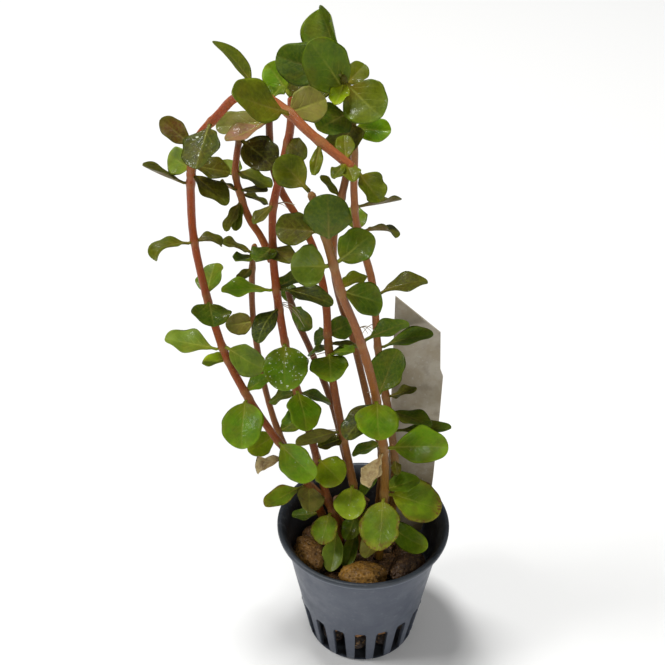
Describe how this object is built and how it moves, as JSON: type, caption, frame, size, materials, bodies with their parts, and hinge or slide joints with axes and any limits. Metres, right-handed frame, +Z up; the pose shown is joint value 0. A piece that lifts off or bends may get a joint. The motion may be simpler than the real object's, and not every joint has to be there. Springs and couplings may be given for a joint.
{
  "type": "potted blood red rotala",
  "caption": "Bunch of leafy rotala stems, one arching over to the left, planted in clay pebbles in a small slotted nursery pot with a blank upright plant label.",
  "frame": {"origin": "centre of the pot's underside", "axes": "+Z up along the pot's axis, -Y the side that the picture was taken from, +X to the right seen from there"},
  "size_m": [0.0829, 0.0686, 0.2014],
  "materials": {
    "pot_plastic": "matte",
    "label_plastic": "matte",
    "wet_clay": "wet, rough",
    "stem": "wet, satin",
    "green_leaf": "wet, satin",
    "dark_leaf": "wet, satin",
    "dry_leaf": "dry, matte"
  },
  "bodies": {
    "root": {"pot": "pot_plastic", "plant_label": "label_plastic", "pebble_bed": "wet_clay", "front_pebble": "wet_clay", "left_pebble": "wet_clay", "right_pebble": "wet_clay", "back_pebble": "wet_clay", "arching_stem": "stem", "left_branch": "stem", "back_left_stem": "stem", "centre_left_stem": "stem", "dark_stem": "stem", "tan_stem": "stem", "front_stem": "stem", "back_centre_stem": "stem", "right_stem": "stem", "arching_stem_leaf_1": "dark_leaf", "arching_stem_leaf_2": "dark_leaf", "arching_stem_leaf_3": "dark_leaf", "arching_stem_leaf_4": "dark_leaf", "arching_stem_leaf_5": "dark_leaf", "arching_stem_leaf_6": "dark_leaf", "arching_stem_leaf_7": "green_leaf", "arching_stem_leaf_8": "green_leaf", "arching_stem_leaf_9": "green_leaf", "arching_stem_leaf_10": "green_leaf", "arching_stem_leaf_11": "green_leaf", "arching_stem_leaf_12": "green_leaf", "arching_stem_dry_leaf": "dry_leaf", "left_branch_leaf_1": "dark_leaf", "back_left_stem_leaf_1": "green_leaf", "centre_left_stem_leaf_1": "dark_leaf", "centre_left_stem_leaf_2": "dark_leaf", "centre_left_stem_leaf_3": "dark_leaf", "centre_left_stem_leaf_4": "green_leaf", "centre_left_stem_leaf_5": "green_leaf", "centre_left_stem_leaf_6": "green_leaf", "centre_left_stem_leaf_7": "green_leaf", "tan_stem_leaf_1": "green_leaf", "tan_stem_leaf_2": "green_leaf", "front_stem_leaf_1": "dark_leaf", "front_stem_leaf_2": "dark_leaf", "front_stem_leaf_3": "dark_leaf", "front_stem_leaf_4": "dark_leaf", "front_stem_leaf_5": "dark_leaf", "front_stem_leaf_6": "green_leaf", "front_stem_leaf_7": "green_leaf", "front_stem_leaf_8": "green_leaf", "front_stem_leaf_9": "green_leaf", "front_stem_leaf_10": "green_leaf", "front_stem_leaf_11": "green_leaf", "front_stem_dry_leaf": "dry_leaf", "right_stem_leaf_1": "dark_leaf", "right_stem_leaf_2": "dark_leaf", "right_stem_leaf_3": "dark_leaf", "right_stem_leaf_4": "dark_leaf", "right_stem_leaf_5": "dark_leaf", "right_stem_leaf_6": "green_leaf", "right_stem_leaf_7": "green_leaf", "right_stem_leaf_8": "green_leaf"}
  },
  "joints": []
}
